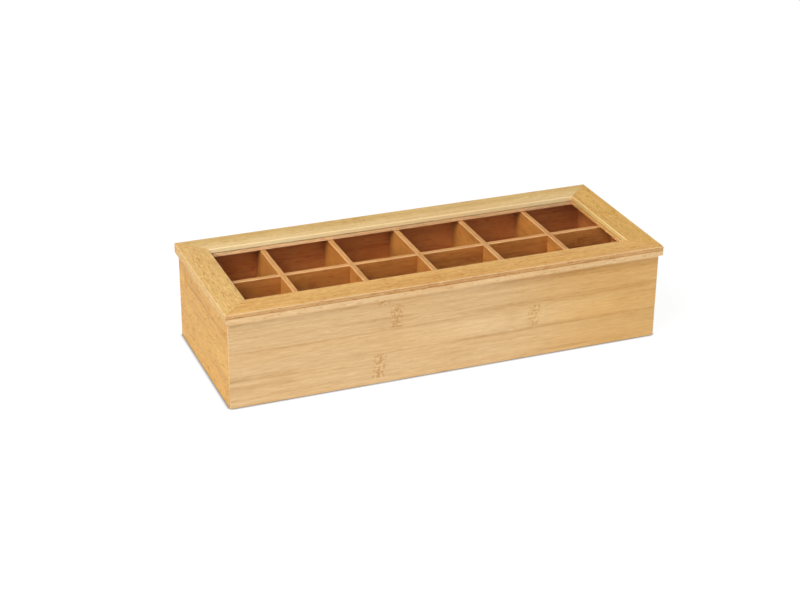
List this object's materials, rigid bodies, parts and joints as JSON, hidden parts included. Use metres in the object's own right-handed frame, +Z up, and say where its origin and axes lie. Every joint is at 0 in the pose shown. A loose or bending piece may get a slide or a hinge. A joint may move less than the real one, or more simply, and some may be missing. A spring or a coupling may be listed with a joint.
{
  "type": "tea bag box",
  "caption": "Long low bamboo tea box with a grid of half-lapped dividers and a hinged mitred lid that frames a clear window.",
  "frame": {"origin": "middle of the lid's outline, on the plane the box stands on", "axes": "+X along the length to the right seen from the front, +Y to the hinged back, +Z up"},
  "size_m": [0.41, 0.16, 0.09],
  "materials": {
    "case_bamboo": "natural bamboo boards, clear satin lacquer",
    "lid_bamboo": "natural bamboo boards, clear satin lacquer",
    "divider_bamboo": "natural bamboo, thin, satin",
    "bottom_bamboo": "natural bamboo panel, satin",
    "clear_pane": "clear acrylic sheet, polished",
    "hinge_steel": "nickel-plated steel, lightly brushed"
  },
  "bodies": {
    "case": {"front_wall": "case_bamboo", "back_wall": "case_bamboo", "left_wall": "case_bamboo", "right_wall": "case_bamboo", "bottom_board": "bottom_bamboo", "long_divider": "divider_bamboo", "cross_divider_1": "divider_bamboo", "cross_divider_2": "divider_bamboo", "cross_divider_3": "divider_bamboo", "cross_divider_4": "divider_bamboo", "cross_divider_5": "divider_bamboo", "left_hinge_case_leaf": "hinge_steel", "left_hinge_pin": "hinge_steel", "right_hinge_case_leaf": "hinge_steel", "right_hinge_pin": "hinge_steel", "case_hinge_screws": "hinge_steel"},
    "lid": {"lid_front_rail": "lid_bamboo", "lid_back_rail": "lid_bamboo", "lid_left_stile": "lid_bamboo", "lid_right_stile": "lid_bamboo", "window_pane": "clear_pane", "left_hinge_lid_leaf": "hinge_steel", "right_hinge_lid_leaf": "hinge_steel", "lid_hinge_screws": "hinge_steel"}
  },
  "joints": [
    {"name": "lid_hinge", "type": "hinge", "parent": "case", "child": "lid", "pos_m": [0, 0.077, 0.081], "axis": [-1, 0, 0], "range_deg": [0, 100]}
  ]
}
